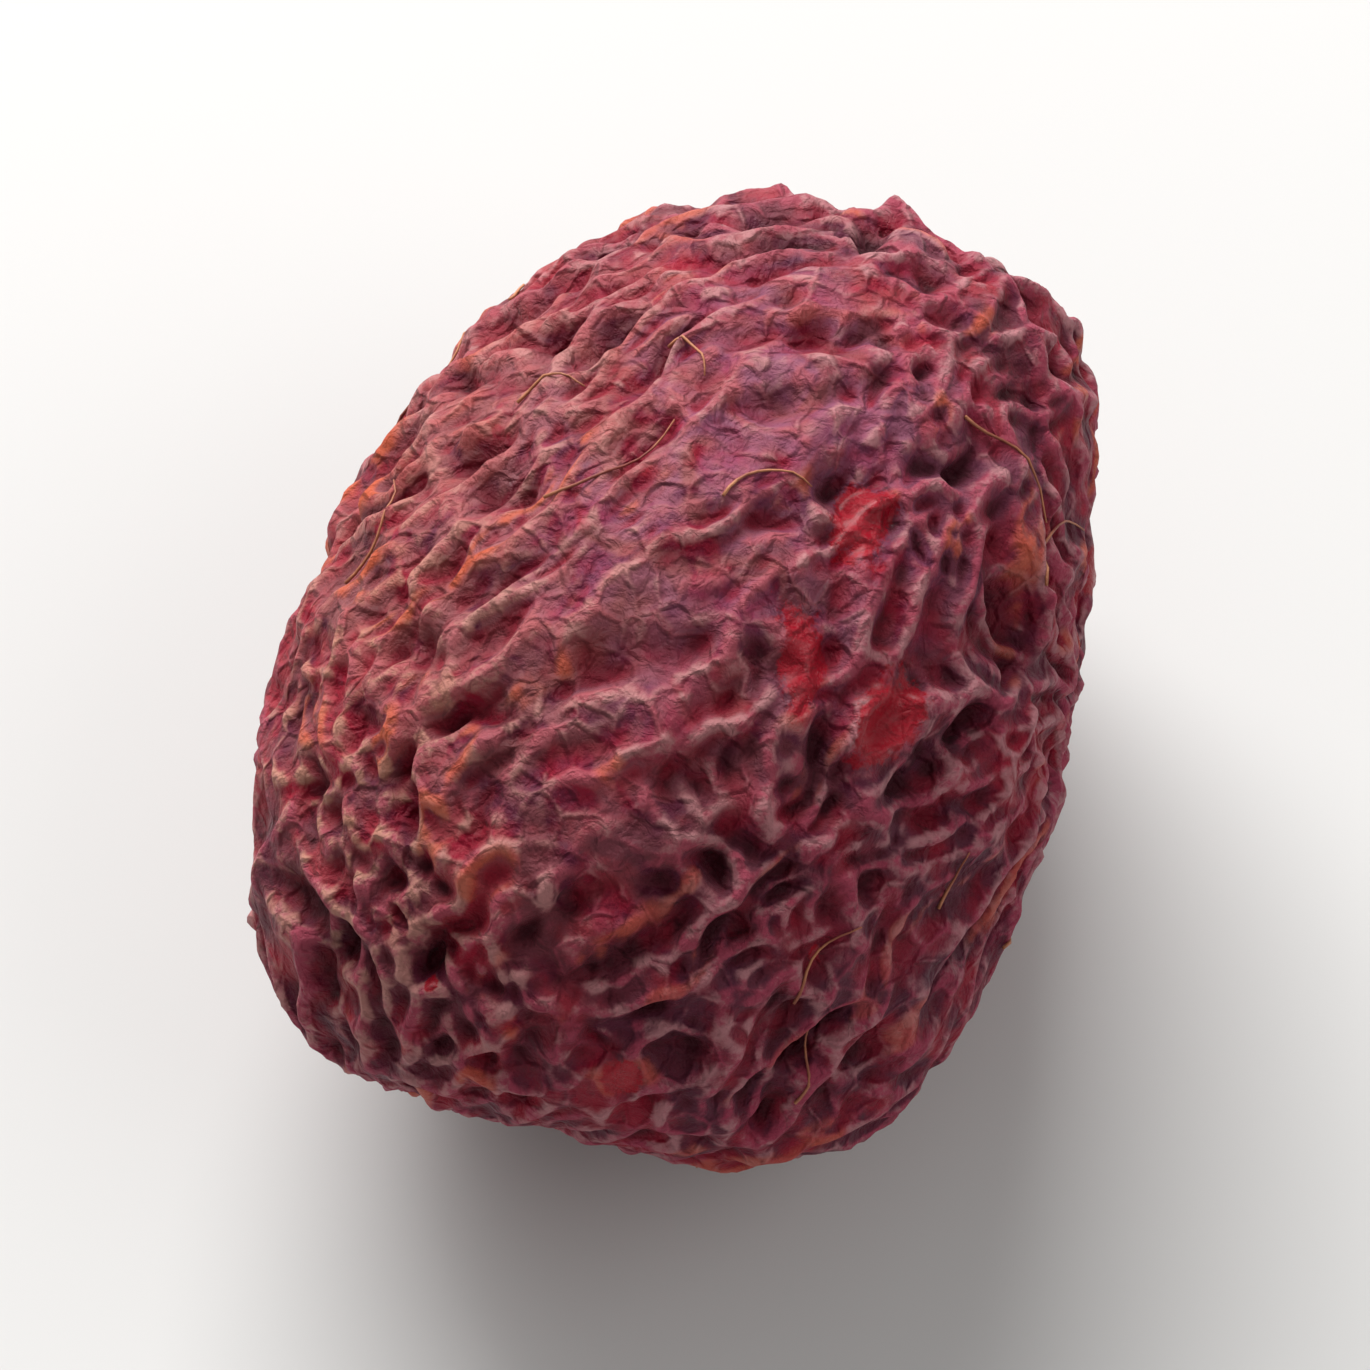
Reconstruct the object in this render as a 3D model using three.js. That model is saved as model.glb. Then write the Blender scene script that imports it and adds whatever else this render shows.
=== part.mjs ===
// Dried raspberry: one picked berry that has shrunk and wrinkled round its seeds.
// Millimetres, +Z up. It lies on its side on a small flat spot, its open end towards +Y.
//
// A raspberry is some ninety drupelets grown together into one thimble, open where it
// left its core. Each drupelet is a bag of skin round one long seed. As it dries the bags
// empty: their borders stay up as a raised net, the skin sinks between them, the seeds
// push up from below, and long folds run across. It stays one grown piece, so it is one
// closed solid. A ball of even triangles is laid over the thimble, hollow included, and
// the relief is then sunk into it by formula.

import * as THREE from 'three';
import { mergeVertices } from 'three/addons/utils/BufferGeometryUtils.js';

const { lerp, smoothstep, clamp } = THREE.MathUtils;

// Whole berry, over the crests
const LENGTH = 15.2;
const WIDTH = 11.6;
const HEIGHT = 11;

// Thimble: places along the axis from the open end, and radii as shares of the half width
const BELLY_FROM_RIM = 6.6;
const RIM_RADIUS = 0.44;
const RIM_ROLL = 1.4;
const HOLLOW_DEPTH = 6.2;
const HOLLOW_RADIUS = 0.2;
const HOLLOW_FLATNESS = 0.75;

// Swellings and dents of the whole berry: the side they are on, how high and how wide
const LUMPS = [
  { side: [0.79, 0.61, 0.04], height: -0.85, spread: 0.3 },
  { side: [0.4, 0.9, 0.2], height: 0.3, spread: 0.25 },
  { side: [-0.48, 0.75, 0.46], height: -0.45, spread: 0.4 },
  { side: [-0.64, -0.76, -0.13], height: 0.35, spread: 0.28 },
  { side: [0.14, -0.92, -0.36], height: -0.95, spread: 0.34 },
  { side: [0.76, -0.53, -0.36], height: 0.7, spread: 0.27 },
];

// Sides where the skin stayed smoother: the top, the end by the tip, the flat it lies on
const CALM_SIDES = [
  { side: [0, 0.14, 0.99], calm: 0.6, spread: 0.2 },
  { side: [0.37, -0.9, 0.21], calm: 0.5, spread: 0.22 },
  { side: [0, 0, -1], calm: 1, spread: 0.35 },
];

// Drupelets, and the seed in each
const DRUPELETS = 90;
const DRUPELET_JITTER = 0.6;
const SEED_LENGTH = 2.3;
const SEED_WIDTH = 1.1;
const SEED_TURN = 0.6;

// Relief: how wide the crests are, and how deep the skin sinks between them
const NET_WIDTH = 0.72;
const FOLD_PERIOD = 2.2;
const FOLD_STRETCH = 2.6;
const FOLD_WIDTH = 0.5;
const SKIN_SINK = 0.95;
const PLEATS = 12;
const PLEAT_HEIGHT = 0.28;

// Crumpling that keeps every crest from running straight: period and reach of each size
const CRUMPLES = [{ period: 5.5, reach: 0.32 }, { period: 2.2, reach: 0.1 }];

// Way that the folds run, slanting along the berry
const FOLD_WAY = new THREE.Vector3(0.49, 0.82, 0.29).normalize();
const FOLD_ACROSS = new THREE.Vector3(0, 0, 1).cross(FOLD_WAY).normalize();
const FOLD_OUT = new THREE.Vector3().crossVectors(FOLD_WAY, FOLD_ACROSS);

// Flat spot that it rests on: how much of the round underside is pressed flat
const REST_PRESS = 0.3;

// Triangles: edge divisions of the ball, and how far its points gather to the net
const BALL_DETAIL = 23;
const GATHER_REACH = 0.2;
const GATHER_PULL = 0.5;

const RANDOM_SEED = 7;
const WAVES = 18;
const GOLDEN_TURN = Math.PI * (3 - Math.sqrt(5));
const random = THREE.MathUtils.seededRandom;

function around(spread) {
  return (random() * 2 - 1) * spread;
}

// Smooth noise of about one unit up and down: plane waves of one period, running all ways
function waveField(period) {
  const waves = [];
  for (let wave = 0; wave < WAVES; wave += 1) {
    const slope = Math.acos(random() * 2 - 1);
    const compass = random() * 2 * Math.PI;
    const size = period * (0.8 + 0.4 * random());
    const run = new THREE.Vector3().setFromSphericalCoords(2 * Math.PI / size, slope, compass);
    waves.push({ run, phase: random() * 2 * Math.PI });
  }
  const total = (point) => waves.reduce((sum, wave) => sum + Math.cos(wave.run.dot(point) + wave.phase), 0);
  return (point) => total(point) * Math.sqrt(2 / WAVES);
}

// Section of the thimble: blind end of the hollow, its wall, the rim, the belly, the tip
function thimbleSection() {
  const at = (along, out) => new THREE.Vector2(along, out);
  const wallEnd = at(HOLLOW_DEPTH * 0.7, HOLLOW_RADIUS);
  const rim = at(0, RIM_RADIUS);
  const belly = at(BELLY_FROM_RIM, 1);
  const section = new THREE.CurvePath();
  section.add(new THREE.CubicBezierCurve(
    at(HOLLOW_DEPTH, 0),
    at(HOLLOW_DEPTH, HOLLOW_RADIUS * 0.6),
    at(HOLLOW_DEPTH * 0.9, HOLLOW_RADIUS),
    wallEnd,
  ));
  section.add(new THREE.CubicBezierCurve(
    wallEnd,
    at(HOLLOW_DEPTH * 0.3, HOLLOW_RADIUS),
    at(RIM_ROLL * 0.2, HOLLOW_RADIUS),
    rim,
  ));
  section.add(new THREE.CubicBezierCurve(
    rim,
    at(-RIM_ROLL * 0.2, RIM_RADIUS * 1.6),
    at(BELLY_FROM_RIM * 0.4, 1),
    belly,
  ));
  section.add(new THREE.CubicBezierCurve(
    belly,
    at(lerp(BELLY_FROM_RIM, LENGTH, 0.58), 1),
    at(LENGTH, 0.58),
    at(LENGTH, 0),
  ));
  return section;
}

// Points of the section, each with the share of the skin's area that lies before it
function measuredSection(steps = 800) {
  const section = thimbleSection();
  const points = [];
  let area = 0;
  let before = section.getPoint(0);
  for (let step = 0; step <= steps; step += 1) {
    const here = section.getPoint(step / steps);
    area += Math.hypot(here.x - before.x, (here.y - before.y) * WIDTH / 2) * (here.y + before.y);
    points.push({ along: here.x, out: here.y, area });
    before = here;
  }
  return points.map(({ along, out, area: sum }) => ({ along, out, share: sum / area }));
}

const SECTION = measuredSection();
const RIM_SHARE = SECTION.reduce((rim, here) => (here.along < rim.along ? here : rim)).share;

function sectionAt(share) {
  const next = Math.max(1, SECTION.findIndex((here) => here.share >= share));
  const [low, high] = [SECTION[next - 1], SECTION[next]];
  const step = clamp((share - low.share) / (high.share - low.share), 0, 1);
  return { along: lerp(low.along, high.along, step), out: lerp(low.out, high.out, step) };
}

// How far outside the rim a share lies: 0 down in the hollow, 1 on the outside
function outsideAmount(share) {
  return smoothstep(share, RIM_SHARE * 0.75, RIM_SHARE * 1.1);
}

// Side of the berry that a point is on, as a heading from the middle
function headingOf(point) {
  return new THREE.Vector3(point.x * 2 / WIDTH, point.y * 2 / LENGTH, point.z * 2 / HEIGHT);
}

function nearness(heading, side, spread) {
  const away = heading.distanceTo(new THREE.Vector3(...side).normalize());
  return Math.exp(-((away / spread) ** 2) / 2);
}

// Point of the smooth thimble, by a share of its area and a turn round its axis
function thimblePoint(share, turn) {
  const { along, out } = sectionAt(share);
  const flatness = lerp(HOLLOW_FLATNESS, 1, outsideAmount(share));
  const point = new THREE.Vector3(
    out * Math.cos(turn) * WIDTH / 2,
    LENGTH / 2 - along,
    out * Math.sin(turn) * HEIGHT / 2 * flatness,
  );
  const heading = headingOf(point);
  const reach = smoothstep(heading.length(), 0.35, 0.9);
  heading.normalize();
  for (const lump of LUMPS) {
    point.addScaledVector(heading, reach * lump.height * nearness(heading, lump.side, lump.spread));
  }
  return point;
}

// One drupelet: the middle of its skin, and the way its seed lies under it
function makeDrupelet(index) {
  const step = (index + 0.5 + around(DRUPELET_JITTER)) / DRUPELETS;
  const middle = thimblePoint(lerp(RIM_SHARE * 1.1, 1, step), index * GOLDEN_TURN + around(DRUPELET_JITTER / 3));
  const out = headingOf(middle).normalize();
  const lie = FOLD_WAY.clone().projectOnPlane(out).normalize().applyAxisAngle(out, around(SEED_TURN));
  return { middle, lie, across: new THREE.Vector3().crossVectors(out, lie), fullness: random() };
}

random(RANDOM_SEED);
const DRUPELET_LIST = Array.from({ length: DRUPELETS }, (unused, index) => makeDrupelet(index));
const CRUMPLE_FIELDS = CRUMPLES.map(({ period, reach }) => ({
  reach,
  fields: [waveField(period), waveField(period), waveField(period)],
}));
const FOLD_FIELD = waveField(FOLD_PERIOD);

function crumpled(point) {
  const moved = point.clone();
  for (const { reach, fields } of CRUMPLE_FIELDS) {
    const push = new THREE.Vector3(fields[0](point), fields[1](point), fields[2](point));
    moved.addScaledVector(push, reach);
  }
  return moved;
}

// The drupelet that a point is on, and the next one beyond the nearest border
function nearestTwo(point) {
  const sorted = DRUPELET_LIST.map((one) => ({ one, away: point.distanceTo(one.middle) }));
  sorted.sort((a, b) => a.away - b.away);
  return sorted.slice(0, 2);
}

function crest(distance, width) {
  return Math.exp(-((distance / width) ** 2));
}

function seedCrest(point, { middle, lie, across }) {
  const offset = point.clone().sub(middle);
  const away = Math.hypot(offset.dot(lie) * 2 / SEED_LENGTH, offset.dot(across) * 2 / SEED_WIDTH);
  return 1 - smoothstep(away, 0.3, 1.5);
}

function foldCrest(point) {
  const stretched = new THREE.Vector3(
    point.dot(FOLD_WAY) / FOLD_STRETCH,
    point.dot(FOLD_ACROSS),
    point.dot(FOLD_OUT),
  );
  return crest(FOLD_FIELD(stretched), FOLD_WIDTH);
}

function calmness(point) {
  const heading = headingOf(point).normalize();
  return CALM_SIDES.reduce((most, { side, calm, spread }) => (
    Math.max(most, calm * nearness(heading, side, spread))), 0);
}

// How deep the skin has sunk at a point: not at all along the net, the seeds and the folds
function skinSink(point) {
  const moved = crumpled(point);
  const [first, second] = nearestTwo(moved);
  const net = crest(second.away - first.away, NET_WIDTH);
  const sunk = (1 - net) * (1 - 0.8 * seedCrest(moved, first.one)) * (1 - 0.7 * foldCrest(moved));
  return SKIN_SINK * sunk * (1.25 - 0.75 * first.one.fullness) * (1 - calmness(point));
}

// Pleats that draw the rim together round the mouth
function pleatRise(share, turn) {
  const byRim = crest(share - RIM_SHARE * 0.8, RIM_SHARE * 0.45);
  return PLEAT_HEIGHT * byRim * Math.cos(PLEATS * turn + 1.5 * Math.sin(2 * turn));
}

// Moves a point sideways to the border that it is near, so that edges run along the net
function gathered(point, normal) {
  const moved = crumpled(point);
  const [first, second] = nearestTwo(moved);
  const way = second.one.middle.clone().sub(first.one.middle);
  const gap = (second.away ** 2 - first.away ** 2) / (2 * way.length());
  if (gap > GATHER_REACH) {
    return point;
  }
  return point.addScaledVector(way.projectOnPlane(normal).normalize(), gap * GATHER_PULL);
}

// Lays the ball's points over the thimble, and remembers the share and turn of each
function smoothThimble() {
  const ball = new THREE.IcosahedronGeometry(1, BALL_DETAIL);
  ball.deleteAttribute('normal');
  ball.deleteAttribute('uv');
  const geometry = mergeVertices(ball);
  const points = geometry.getAttribute('position');
  const places = [];
  for (let index = 0; index < points.count; index += 1) {
    const heading = new THREE.Vector3().fromBufferAttribute(points, index).normalize();
    const place = { share: (1 - heading.y) / 2, turn: Math.atan2(heading.z, heading.x) };
    points.setXYZ(index, ...thimblePoint(place.share, place.turn));
    places.push(place);
  }
  geometry.computeVertexNormals();
  return { geometry, places };
}

function sinkSkin({ geometry, places }) {
  const points = geometry.getAttribute('position');
  const normals = geometry.getAttribute('normal');
  places.forEach(({ share, turn }, index) => {
    const normal = new THREE.Vector3().fromBufferAttribute(normals, index);
    const point = new THREE.Vector3().fromBufferAttribute(points, index);
    const outside = outsideAmount(share);
    if (outside === 1) {
      gathered(point, normal);
    }
    const rise = pleatRise(share, turn) - outside * skinSink(point);
    points.setXYZ(index, ...point.addScaledVector(normal, rise));
  });
}

// Presses the underside flat and stands the berry on it, over the middle of its box
function layDown(geometry) {
  const points = geometry.getAttribute('position');
  geometry.computeBoundingBox();
  const floor = geometry.boundingBox.min.z + REST_PRESS;
  for (let index = 0; index < points.count; index += 1) {
    points.setZ(index, Math.max(points.getZ(index), floor));
  }
  geometry.computeBoundingBox();
  const middle = geometry.boundingBox.getCenter(new THREE.Vector3());
  geometry.translate(-middle.x, -middle.y, -floor);
}

function makeBerry() {
  const thimble = smoothThimble();
  sinkSkin(thimble);
  layDown(thimble.geometry);
  thimble.geometry.computeVertexNormals();
  const skin = new THREE.MeshStandardMaterial({ color: 0x7a3440, roughness: 0.6, metalness: 0 });
  const berry = new THREE.Mesh(thimble.geometry, skin);
  berry.name = 'berry';
  return berry;
}

const part = new THREE.Group();
part.name = 'dried_raspberry';
part.add(makeBerry());

export default part;
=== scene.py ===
# %% [markdown]
# # A dried raspberry
#
# This lesson dresses one dried raspberry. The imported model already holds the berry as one
# closed solid at its real size. Here it gets a finer skin, a finish that changes from crest to
# pit, and the withered hairs that the flower left on it.

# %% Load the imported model
import math

import bpy
import numpy as np
from mathutils import Matrix, Vector
from mathutils.bvhtree import BVHTree


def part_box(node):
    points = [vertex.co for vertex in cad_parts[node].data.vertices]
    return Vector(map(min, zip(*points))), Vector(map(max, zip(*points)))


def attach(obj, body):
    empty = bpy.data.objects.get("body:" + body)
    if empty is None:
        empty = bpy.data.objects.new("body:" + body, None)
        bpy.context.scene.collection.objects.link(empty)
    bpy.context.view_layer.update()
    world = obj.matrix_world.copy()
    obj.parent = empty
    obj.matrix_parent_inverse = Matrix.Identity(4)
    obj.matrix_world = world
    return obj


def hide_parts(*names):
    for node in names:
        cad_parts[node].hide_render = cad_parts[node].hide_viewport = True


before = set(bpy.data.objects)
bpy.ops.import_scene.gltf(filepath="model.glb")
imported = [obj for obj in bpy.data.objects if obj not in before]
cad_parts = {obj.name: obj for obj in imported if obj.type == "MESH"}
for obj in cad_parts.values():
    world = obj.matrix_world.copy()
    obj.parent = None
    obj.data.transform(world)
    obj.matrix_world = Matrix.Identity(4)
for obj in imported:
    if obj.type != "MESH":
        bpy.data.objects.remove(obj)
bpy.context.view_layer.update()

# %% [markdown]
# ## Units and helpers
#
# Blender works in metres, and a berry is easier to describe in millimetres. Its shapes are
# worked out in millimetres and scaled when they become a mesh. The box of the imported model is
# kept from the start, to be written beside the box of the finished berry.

MM = 0.001
NODE_LOW, NODE_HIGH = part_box("berry")
print("packed berry, mm:", [round(side / MM, 2) for side in NODE_HIGH - NODE_LOW])


# %% Select nothing, then one piece
def select_none():
    """Leaves nothing selected, so that an operator acts on the new piece alone."""
    if bpy.context.object and bpy.context.object.mode != "OBJECT":
        bpy.ops.object.mode_set(mode="OBJECT")
    bpy.ops.object.select_all(action="DESELECT")


def select_only(piece):
    select_none()
    piece.select_set(True)
    bpy.context.view_layer.objects.active = piece


# %% Read and write a piece's points as one array
def read_points(piece):
    """The piece's vertices in millimetres, one row each."""
    flat = np.empty(len(piece.data.vertices) * 3)
    piece.data.vertices.foreach_get("co", flat)
    return flat.reshape(-1, 3) / MM


def write_points(piece, points):
    piece.data.vertices.foreach_set("co", (points * MM).ravel())
    piece.data.update()


def read_normals(piece):
    flat = np.empty(len(piece.data.vertices) * 3)
    piece.data.vertex_normals.foreach_get("vector", flat)
    return flat.reshape(-1, 3)


# %% [markdown]
# ## The rule behind the shape
#
# A raspberry is some ninety drupelets grown together into a hollow thimble. Each is a bag of
# skin round one seed. As the berry dries the bags empty: their borders stay up as a raised
# net, the skin sinks between them, the seeds push up from below, and long folds run across.
# It could be sculpted, but a rule gives the same berry each time and at any fineness. The
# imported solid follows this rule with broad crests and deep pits. The skin here follows it with
# thinner crests and a shallower sink. The net, the folds and the seeds are in the same places
# on both, and the skin adds small pits, fine folds and a crumple that the solid is too coarse
# to hold.

# %% Size of the berry and of its hollow, in millimetres
LENGTH = 15.2
WIDTH = 11.6
HEIGHT = 11.0
BELLY_FROM_RIM = 6.6
RIM_RADIUS = 0.44
RIM_ROLL = 1.4
HOLLOW_DEPTH = 6.2
HOLLOW_RADIUS = 0.2
HOLLOW_FLATNESS = 0.75

# %% Swellings and dents of the whole berry: side, height, spread
LUMPS = [
    ((0.79, 0.61, 0.04), -0.85, 0.3),
    ((0.4, 0.9, 0.2), 0.3, 0.25),
    ((-0.48, 0.75, 0.46), -0.45, 0.4),
    ((-0.64, -0.76, -0.13), 0.35, 0.28),
    ((0.14, -0.92, -0.36), -0.95, 0.34),
    ((0.76, -0.53, -0.36), 0.7, 0.27),
]

# %% Sides where the skin stayed smoother: side, how calm, spread
CALM_SIDES = [
    ((0, 0.14, 0.99), 0.6, 0.2),
    ((0.37, -0.9, 0.21), 0.5, 0.22),
    ((0, 0, -1), 1, 0.35),
]

# %% Drupelets, seeds, folds and pleats
DRUPELETS = 90
DRUPELET_JITTER = 0.6
DRUPELET_TURN_JITTER = DRUPELET_JITTER / 3
SEED_LENGTH = 2.3
SEED_WIDTH = 1.1
SEED_TURN = 0.6
SEED_TOP = 0.3
SEED_FOOT = 1.5
SKIN_SINK = 0.42
FOLD_PERIOD = 2.2
FOLD_STRETCH = 2.6
PLEATS = 12
PLEAT_HEIGHT = 0.28
CRUMPLES = [(5.5, 0.32), (2.2, 0.1)]
REST_PRESS = 0.3
NET_WIDTH = 0.5
FOLD_WIDTH = 0.45

# %% How much the seeds, the long folds and the fullness of a drupelet hold its skin up
SEED_LIFT = 0.7
FOLD_LIFT = 0.8
SINK_WHEN_EMPTY = 1.25
SINK_WHEN_FULL = 0.5

# %% Finer relief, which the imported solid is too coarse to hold
FINE_CRUMPLE = (0.9, 0.04)
CELLS = 1100
CELL_JITTER = 0.9
CELL_TURN_JITTER = CELL_JITTER / 4
ROUND_STRETCH = 1.2
LONG_STRETCH = 3.2
CELL_EDGE = 0.2
CELL_SINK = 0.3
LEAST_DEPTH = 0.45
FOLDED_SIDE = ((-0.05, 0.1, 0.98), 0.75)
PITTED_SIDES = [
    ((-0.45, -0.7, 0.5), 0.8, 0.3),
    ((0.76, 0.13, 0.63), 0.5, 0.3),
    ((0.6, -0.7, 0.38), 0.7, 0.35),
    ((-0.3, 0.6, -0.75), 0.6, 0.4),
]
FINE_FOLD_PERIOD = 1.1
FINE_FOLD_STRETCH = 2.2
FINE_FOLD_WIDTH = 0.8
FINE_FOLD_SINK = 0.15
MICRO_PERIOD = 0.5
MICRO_WIDTH = 0.8
MICRO_SINK = 0.035

# %% How far one kind of relief gives way to another, as shares
NET_LOST_IN_FOLDS = 0.4
CELLS_LOST_ON_NET = 0.6
FINE_FOLDS_AROUND = 0.7
FINE_FOLDS_MORE = 0.6
CALM_IN_JUICE = 0.35
CELLS_CALMED = 0.8
FINE_FOLDS_CALMED = 0.5
MICRO_CALMED = 0.6

# %% Sides where the skin differs in tone: side, spread
TONE_SIDES = {
    "grey": ((0.74, -0.55, 0.38), 0.42),
    "warm": ((-0.8, 0.1, 0.5), 0.5),
    "mauve": ((0.05, 0.25, 0.96), 0.4),
    "pale": ((-0.6, -0.6, 0.5), 0.4),
    "dusty": ((-0.42, 0.0, 0.9), 0.6),
}

# %% Spots where a drop of juice dried to a glossy film, and streaks of straw colour
JUICE_SIDES = [(0.39, 0.19, 0.9), (0.33, 0.91, 0.24), (0.37, -0.88, 0.24)]
JUICE_SPOTS = 7
JUICE_SPREAD = 0.08
JUICE_FULL_SIZE = 2
JUICE_STEP = 2.4
JUICE_MEAN_SIZE = 0.6
JUICE_VARIES = 0.4
STREAK_PERIOD = 1.2
STREAK_STRETCH = 3.5
STREAK_FROM = 0.9
STREAK_FULL = 1.7

# %% [markdown]
# ### Draws and noise
#
# Nature's disorder is drawn from a seeded generator, so the berry never changes from run to
# run. The noise is a sum of plane waves of about one length that run all ways. Where it
# crosses zero it draws long winding lines at a fairly even distance, which is how wrinkles lie.


# %% Seeded draws between 0 and 1
class Draws:
    """A small generator of 32-bit draws."""

    MASK = 0xFFFFFFFF
    STEP = 0x6D2B79F5

    def __init__(self, seed):
        self.state = seed
        self.draw()

    def draw(self):
        self.state = (self.state + self.STEP) & self.MASK
        mixed = ((self.state ^ (self.state >> 15)) * (self.state | 1)) & self.MASK
        more = ((mixed ^ (mixed >> 7)) * (mixed | 61)) & self.MASK
        mixed ^= (mixed + more) & self.MASK
        return ((mixed ^ (mixed >> 14)) & self.MASK) / 2**32

    def around(self, spread):
        return (self.draw() * 2 - 1) * spread


RANDOM_SEED = 7
draws = Draws(RANDOM_SEED)


# %% Smooth noise of about one unit up and down
WAVES = 18
SHORTEST_WAVE = 0.8
WAVES_VARY = 0.4


def wave_field(period, source):
    """A function of points: plane waves of about one period that run all ways."""
    runs = []
    phases = []
    for _ in range(WAVES):
        slope = math.acos(source.draw() * 2 - 1)
        compass = source.draw() * 2 * math.pi
        size = period * (SHORTEST_WAVE + WAVES_VARY * source.draw())
        flat = math.sin(slope)
        way = (flat * math.sin(compass), math.cos(slope), flat * math.cos(compass))
        runs.append(np.array(way) * 2 * math.pi / size)
        phases.append(source.draw() * 2 * math.pi)
    runs, phases = np.array(runs), np.array(phases)
    return lambda points: np.cos(points @ runs.T + phases).sum(axis=-1) * math.sqrt(2 / WAVES)


# %% Soft steps and crests
def smooth_step(value, low, high):
    share = np.clip((value - low) / (high - low), 0, 1)
    return share * share * (3 - 2 * share)


def crest(distance, width):
    """1 on a line, falling away to both sides of it."""
    return np.exp(-((distance / width) ** 2))


def unit(vectors):
    return vectors / np.linalg.norm(vectors, axis=-1, keepdims=True)


# %% [markdown]
# ### The smooth thimble
#
# The section runs from the blind end of the hollow, up its wall, over the rim, round the
# belly and to the tip. Turned round the axis it makes the thimble. A point on it is named by
# the share of the skin's area before it and by a turn, so that an even ball can be laid over
# it without its triangles growing or shrinking.


# %% Section of the thimble and its area
def bezier(points, steps=400):
    """Points of one cubic curve."""
    p0, p1, p2, p3 = (np.array(point, float) for point in points)
    t = np.linspace(0, 1, steps)[:, None]
    s = 1 - t
    return s**3 * p0 + 3 * s**2 * t * p1 + 3 * s * t**2 * p2 + t**3 * p3


def thimble_section():
    """Distance from the rim and radius, half the berry's width being 1. Each curve has two handles."""
    blind_end = (HOLLOW_DEPTH, 0)
    wall_end = (HOLLOW_DEPTH * 0.7, HOLLOW_RADIUS)
    rim = (0, RIM_RADIUS)
    belly = (BELLY_FROM_RIM, 1)
    tip = (LENGTH, 0)
    low_side = BELLY_FROM_RIM + (LENGTH - BELLY_FROM_RIM) * 0.58
    curves = [
        (blind_end, (HOLLOW_DEPTH, HOLLOW_RADIUS * 0.6), (HOLLOW_DEPTH * 0.9, HOLLOW_RADIUS), wall_end),
        (wall_end, (HOLLOW_DEPTH * 0.3, HOLLOW_RADIUS), (RIM_ROLL * 0.2, HOLLOW_RADIUS), rim),
        (rim, (-RIM_ROLL * 0.2, RIM_RADIUS * 1.6), (BELLY_FROM_RIM * 0.4, 1), belly),
        (belly, (low_side, 1), (LENGTH, 0.58), tip),
    ]
    return np.vstack([bezier(curve) for curve in curves])


SECTION = thimble_section()
RUNS = np.hypot(np.diff(SECTION[:, 0]), np.diff(SECTION[:, 1]) * WIDTH / 2)
AREAS = np.concatenate([[0], np.cumsum(RUNS * (SECTION[1:, 1] + SECTION[:-1, 1]))])
SHARES = AREAS / AREAS[-1]
RIM_SHARE = SHARES[np.argmin(SECTION[:, 0])]
print("share of the skin inside the rim:", round(RIM_SHARE, 3))


# %% Points of the smooth thimble
HOLLOW_ENDS = 0.75
OUTSIDE_STARTS = 1.1
LUMPS_FROM = 0.35
LUMPS_FULL = 0.9


def outside_amount(share):
    """0 down in the hollow, 1 on the outside."""
    return smooth_step(share, RIM_SHARE * HOLLOW_ENDS, RIM_SHARE * OUTSIDE_STARTS)


def heading_of(points):
    """The side of the berry that a point is on."""
    return points * 2 / np.array([WIDTH, LENGTH, HEIGHT])


def nearness(heading, side, spread):
    """1 on one side of the berry, falling away round it."""
    away = np.linalg.norm(heading - unit(np.array(side, float)), axis=-1)
    return np.exp(-((away / spread) ** 2) / 2)


def thimble_points(share, turn):
    """Points of the smooth thimble with its swellings and dents, in millimetres."""
    along = np.interp(share, SHARES, SECTION[:, 0])
    out = np.interp(share, SHARES, SECTION[:, 1])
    flatness = HOLLOW_FLATNESS + (1 - HOLLOW_FLATNESS) * outside_amount(share)
    across = out * np.cos(turn) * WIDTH / 2
    high = out * np.sin(turn) * HEIGHT / 2 * flatness
    points = np.stack([across, LENGTH / 2 - along, high], axis=-1)
    heading = heading_of(points)
    reach = smooth_step(np.linalg.norm(heading, axis=-1), LUMPS_FROM, LUMPS_FULL)
    heading = unit(heading)
    rise = sum(reach * height * nearness(heading, side, spread) for side, height, spread in LUMPS)
    return points + heading * rise[..., None]


# %% [markdown]
# ### Drupelets
#
# On the fresh fruit the drupelets sit in crossing spirals, each turned from the last by the
# golden angle. The seeds lie roughly along the folds.

# %% Way that the folds run
FOLD_WAY = unit(np.array([0.49, 0.82, 0.29]))
FOLD_ACROSS = unit(np.cross((0, 0, 1), FOLD_WAY))
FOLD_OUT = np.cross(FOLD_WAY, FOLD_ACROSS)
GOLDEN_TURN = math.pi * (3 - math.sqrt(5))


# %% Where each drupelet sits, how its seed lies and how full it stayed
def make_drupelet(index):
    step = (index + 0.5 + draws.around(DRUPELET_JITTER)) / DRUPELETS
    share = RIM_SHARE * OUTSIDE_STARTS + (1 - RIM_SHARE * OUTSIDE_STARTS) * step
    turn = index * GOLDEN_TURN + draws.around(DRUPELET_TURN_JITTER)
    middle = thimble_points(np.array(share), np.array(turn))
    out = unit(heading_of(middle))
    lie = Vector(unit(FOLD_WAY - out * (FOLD_WAY @ out)))
    lie.rotate(Matrix.Rotation(draws.around(SEED_TURN), 3, Vector(out)))
    lie = np.array(lie)
    return {"middle": middle, "lie": lie, "across": np.cross(out, lie), "fullness": draws.draw()}


drupelets = [make_drupelet(index) for index in range(DRUPELETS)]
MIDDLES = np.array([one["middle"] for one in drupelets])
LIES = np.array([one["lie"] for one in drupelets])
ACROSSES = np.array([one["across"] for one in drupelets])
FULLNESS = np.array([one["fullness"] for one in drupelets])


# %% Noise for the crumples and the folds
def crumple_field(period, reach):
    return reach, [wave_field(period, draws) for _ in range(3)]


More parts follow.
